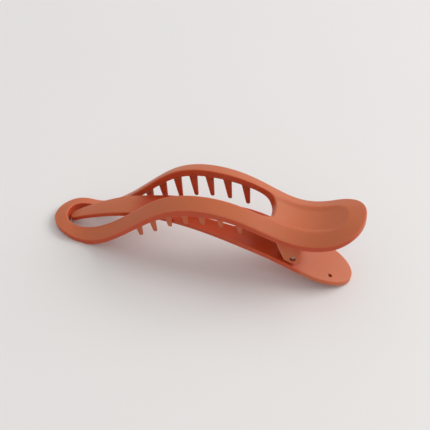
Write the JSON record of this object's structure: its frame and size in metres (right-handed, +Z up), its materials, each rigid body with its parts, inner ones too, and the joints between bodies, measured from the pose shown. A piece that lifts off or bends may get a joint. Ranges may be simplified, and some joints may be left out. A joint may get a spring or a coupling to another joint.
{
  "type": "duckbill hair clip",
  "caption": "Long wavy plastic duckbill hair clip with an open toothed upper jaw, a tapered tongue as lower jaw, a thumb tab and a sprung pin hinge.",
  "frame": {"origin": "centre of the clip's bounding box at its base, on the surface that it lies on", "axes": "+X along the clip from its nose to its thumb tab, +Y across it, +Z up as it lies closed"},
  "size_m": [0.1299, 0.0292, 0.0373],
  "materials": {
    "terracotta_plastic": "matte terracotta plastic with a soft satin sheen",
    "steel": "plain drawn steel"
  },
  "bodies": {
    "lower_jaw": {"lower_jaw": "terracotta_plastic", "hinge_pin": "steel", "torsion_spring": "steel"},
    "upper_jaw": {"upper_jaw": "terracotta_plastic"}
  },
  "joints": [
    {"name": "jaw_hinge", "type": "hinge", "parent": "lower_jaw", "child": "upper_jaw", "pos_m": [0.03966, 0, 0.01462], "axis": [0, 1, 0], "range_deg": [0, 36], "stiffness_Nm_per_rad": 0.12, "springref_deg": -34.38, "deforming": ["torsion_spring"]}
  ]
}
